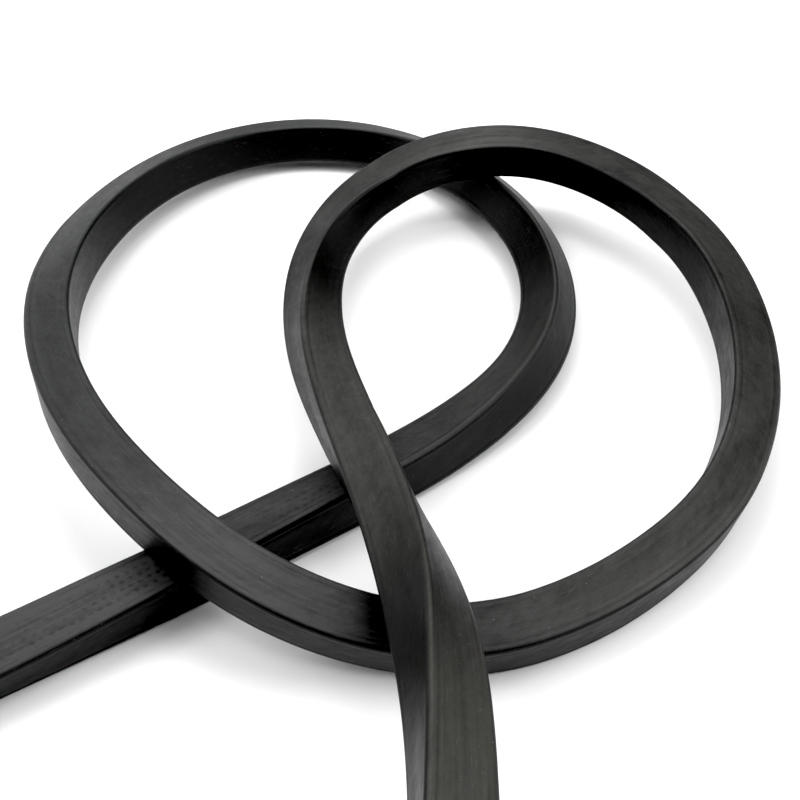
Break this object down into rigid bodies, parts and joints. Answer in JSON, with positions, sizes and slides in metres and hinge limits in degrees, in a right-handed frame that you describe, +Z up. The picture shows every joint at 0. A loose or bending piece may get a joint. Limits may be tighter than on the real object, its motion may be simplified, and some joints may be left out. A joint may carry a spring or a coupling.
{
  "type": "rubber seal strip",
  "caption": "Solid black rubber seal strip of near-square section with softly rounded long edges, cut square at its ends, lying on a surface in overlapping loops.",
  "frame": {"origin": "on the supporting surface, under the middle of the box around the strip as it lies", "axes": "+Z up from the supporting surface; +Y away from the near free end of the strip, along the longest side of the box; +X to the right when looking along +Y"},
  "size_m": [0.2518, 0.4632, 0.0512],
  "materials": {
    "black_rubber": "satin extruded rubber with a fine lengthwise grain, small dents and dust"
  },
  "bodies": {
    "root": {"seal_strip": "black_rubber"}
  },
  "joints": []
}
